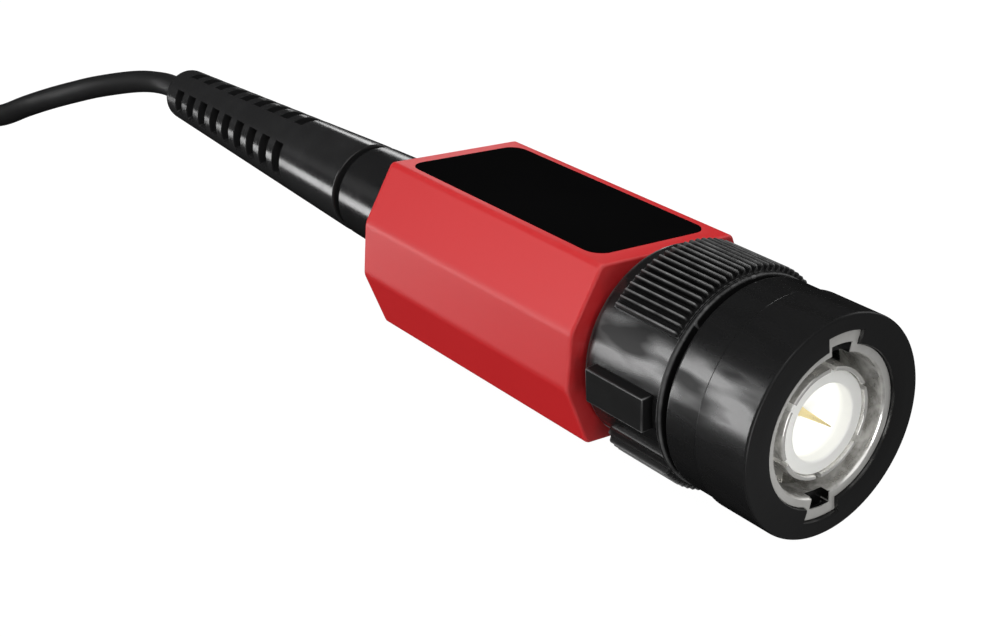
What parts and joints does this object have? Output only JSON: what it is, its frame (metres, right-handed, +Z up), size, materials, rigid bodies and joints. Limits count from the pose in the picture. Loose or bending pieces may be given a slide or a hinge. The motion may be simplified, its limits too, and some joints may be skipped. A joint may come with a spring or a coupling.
{
  "type": "oscilloscope probe",
  "caption": "Passive oscilloscope probe: red compensation box with bayonet coupling and strain relief, cable in a tied hank and probe head with a sprung hook tip.",
  "frame": {"origin": "middle of the footprint of everything but the cable, on the surface that the probe lies on", "axes": "+X along the coupling's axis, the way it mates; +Z up out of the label; the probe head lies at the -X end, on the cable's hank"},
  "size_m": [0.2439, 0.0258, 0.0281],
  "materials": {
    "housing_red": "satin moulded red plastic",
    "label_black": "smooth black plate",
    "case_black": "satin black moulded plastic",
    "coupling_black": "semi-gloss black moulded plastic",
    "soft_black": "soft black rubber",
    "cable_jacket": "satin black cable jacket",
    "nickel_plate": "bright nickel plate",
    "gold_plate": "gold plate",
    "ferrule_brass": "brass",
    "spring_steel": "spring steel",
    "insulator_white": "white fluoroplastic",
    "gasket_rubber": "grey silicone",
    "board_green": "green circuit board",
    "component_body": "lacquered component body"
  },
  "bodies": {
    "root": {"housing_shell": "housing_red", "label_plate": "label_black", "rear_cap": "case_black", "strain_relief_boot": "soft_black", "crimp_ferrule": "ferrule_brass", "cable_inner_run": "cable_jacket", "compensation_board": "board_green", "series_resistor": "component_body", "compensation_capacitor": "component_body", "trimmer_body": "insulator_white", "bnc_body": "nickel_plate", "body_nut": "nickel_plate", "contact_sleeve": "nickel_plate", "insulator": "insulator_white", "center_pin": "gold_plate", "sealing_gasket": "gasket_rubber", "wave_spring": "spring_steel", "cable_lead": "cable_jacket", "cable_coil": "cable_jacket", "cable_tail": "cable_jacket", "cable_tie": "soft_black", "head_boot": "soft_black", "head_inner_run": "cable_jacket", "head_handle": "case_black", "divider_module": "component_body", "ground_ring": "nickel_plate", "tip_sleeve": "case_black", "tip_needle": "gold_plate", "hook_barrel": "case_black", "hook_wire": "gold_plate", "hook_spring": "spring_steel"},
    "slip": {"slip_washer": "spring_steel"},
    "coupling": {"coupling_shroud": "coupling_black", "coupling_grip": "coupling_black", "bayonet_ring": "nickel_plate"},
    "trimmer": {"trimmer_rotor": "ferrule_brass"},
    "hook": {"hook_cover": "case_black"}
  },
  "joints": [
    {"name": "coupling_float", "type": "slide", "parent": "root", "child": "slip", "axis": [1, 0, 0], "range_m": [0, 0.0005], "stiffness_N_per_m": 2000, "deforming": ["wave_spring"]},
    {"name": "coupling_turn", "type": "hinge", "parent": "slip", "child": "coupling", "pos_m": [0.11587, 0.00224, 0.00805], "axis": [1, 0, 0], "continuous": true},
    {"name": "trimmer_turn", "type": "hinge", "parent": "root", "child": "trimmer", "pos_m": [0.08819, 0.00224, 0.00355], "axis": [0, 0, 1], "continuous": true},
    {"name": "hook_slide", "type": "slide", "parent": "root", "child": "hook", "axis": [-0.996, 0, -0.0896], "range_m": [0, 0.0055], "stiffness_N_per_m": 150, "deforming": ["hook_spring"]}
  ]
}
